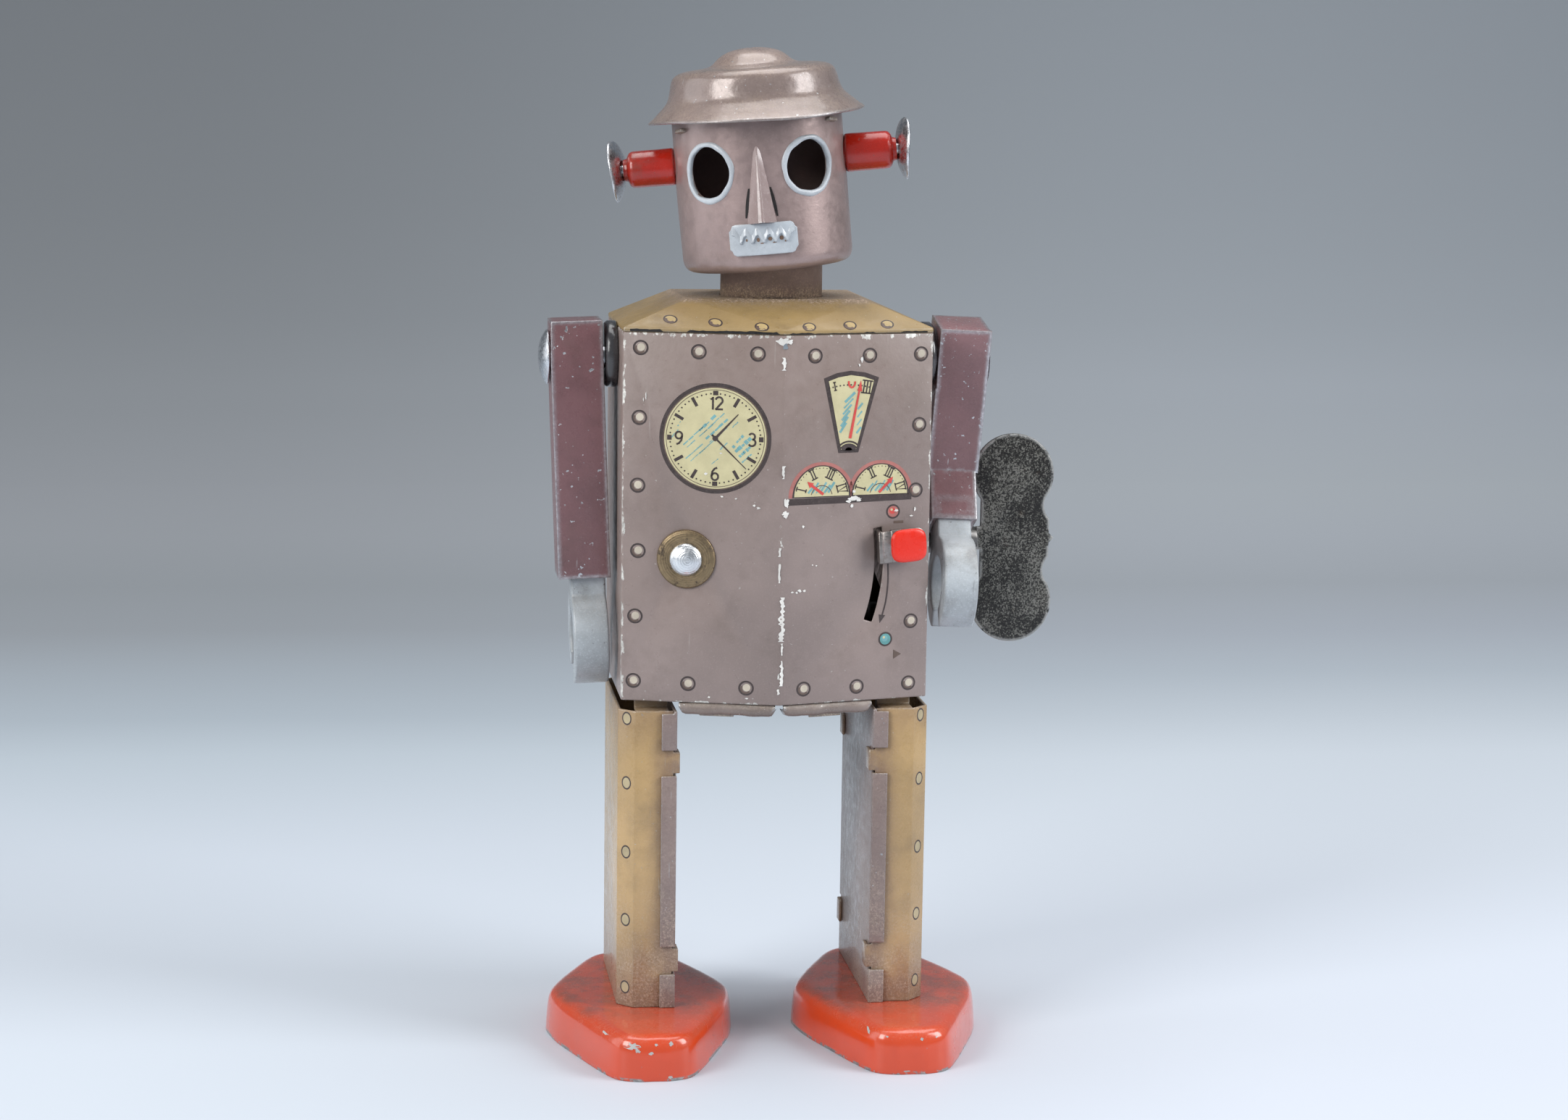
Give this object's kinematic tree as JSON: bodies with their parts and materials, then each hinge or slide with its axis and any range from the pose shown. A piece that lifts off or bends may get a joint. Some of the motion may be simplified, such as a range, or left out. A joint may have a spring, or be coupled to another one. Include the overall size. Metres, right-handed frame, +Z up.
{
  "type": "wind-up walking toy robot",
  "caption": "Boxy tin walking robot with a hat-like head, cup ears, claw hands, a chest panel of dials, a stop lever, a winding key and long flat feet.",
  "frame": {"origin": "on the floor under the middle of the whole toy, key included, which is 4.6 mm from midway between the feet toward the key", "axes": "+Z up, the robot faces -Y, +X points to the robot's left side, where the key is"},
  "size_m": [0.0678, 0.0406, 0.1263],
  "materials": {
    "taupe_lacquer": "lithographed tinplate, satin, worn at the edges",
    "mustard_lacquer": "lithographed tinplate, satin, dusty",
    "orange_lacquer": "glossy lacquer on tinplate, chipped",
    "plum_paint": "semi-gloss paint on a casting, chipped at the edges",
    "silver_paint": "aluminium paint on a casting, worn",
    "bright_rivet": "turned, slightly dull",
    "brass": "tarnished",
    "bare_steel": "bare, dull",
    "spring_steel": "blued",
    "speckled_plate": "black plating worn to a fine speckle, bright edges",
    "black_lacquer": "black, glossy"
  },
  "bodies": {
    "torso": {"torso_front": "taupe_lacquer", "torso_back": "taupe_lacquer", "yoke": "mustard_lacquer", "bottom_plate": "taupe_lacquer", "neck": "taupe_lacquer", "head_shell": "taupe_lacquer", "hat": "taupe_lacquer", "ear_tube_right": "orange_lacquer", "ear_tube_left": "orange_lacquer", "ear_disc_right": "bright_rivet", "ear_disc_left": "bright_rivet", "lever_washer": "brass", "lever_rivet": "bright_rivet", "frame_right": "bare_steel", "frame_left": "bare_steel", "pillars": "bare_steel", "mainspring": "spring_steel", "hip_pins": "bare_steel", "shoulder_rivets": "bright_rivet", "shoulder_spacers": "black_lacquer"},
    "right_arm": {"arm_right": "plum_paint", "claw_right": "silver_paint"},
    "left_arm": {"arm_left": "plum_paint", "claw_left": "silver_paint"},
    "right_leg": {"leg_channel_right": "mustard_lacquer", "leg_plate_right": "taupe_lacquer", "foot_right": "orange_lacquer", "sole_right": "bare_steel", "leg_link_right": "bare_steel"},
    "left_leg": {"leg_channel_left": "mustard_lacquer", "leg_plate_left": "taupe_lacquer", "foot_left": "orange_lacquer", "sole_left": "bare_steel", "leg_link_left": "bare_steel"},
    "key": {"key_grip": "speckled_plate", "key_arbor": "bare_steel", "great_wheel": "brass", "ratchet_wheel": "bare_steel", "click": "bare_steel"},
    "crank": {"crank_arbor": "bare_steel", "crank_wheel": "brass", "crank_disc_right": "bare_steel", "crank_disc_left": "bare_steel"},
    "governor": {"governor_arbor": "bare_steel", "governor_rotor": "brass"},
    "stop_lever": {"stop_lever": "bare_steel"}
  },
  "joints": [
    {"name": "key_turn", "type": "hinge", "parent": "torso", "child": "key", "pos_m": [-0.00456, 0.0077, 0.0634], "axis": [1, 0, 0], "continuous": true},
    {"name": "crank_turn", "type": "hinge", "parent": "torso", "child": "crank", "pos_m": [-0.00456, 0.0016, 0.05541], "axis": [1, 0, 0], "continuous": true},
    {"name": "governor_turn", "type": "hinge", "parent": "torso", "child": "governor", "pos_m": [-0.00456, -0.0015, 0.06107], "axis": [1, 0, 0], "continuous": true},
    {"name": "left_hip", "type": "hinge", "parent": "torso", "child": "left_leg", "pos_m": [-0.00456, 0.00455, 0.05], "axis": [1, 0, 0], "range_deg": [-4.5, 4.5]},
    {"name": "right_hip", "type": "hinge", "parent": "torso", "child": "right_leg", "pos_m": [-0.00456, 0.00455, 0.05], "axis": [1, 0, 0], "range_deg": [-4.5, 4.5]},
    {"name": "right_shoulder", "type": "hinge", "parent": "torso", "child": "right_arm", "pos_m": [-0.00456, 0.0041, 0.0873], "axis": [1, 0, 0], "range_deg": [-160, 160]},
    {"name": "left_shoulder", "type": "hinge", "parent": "torso", "child": "left_arm", "pos_m": [-0.00456, 0.0041, 0.0873], "axis": [1, 0, 0], "range_deg": [-300, 1.5]},
    {"name": "stop_lever_turn", "type": "hinge", "parent": "torso", "child": "stop_lever", "pos_m": [-0.01611, -0.005, 0.06325], "axis": [0, 1, 0], "range_deg": [0, 17]}
  ],
  "couplings": [
    {"joint": "crank_turn", "follows": "key_turn", "ratio": -4},
    {"joint": "governor_turn", "follows": "key_turn", "ratio": 12},
    {"joint": "right_hip", "follows": "left_hip", "ratio": -1}
  ]
}
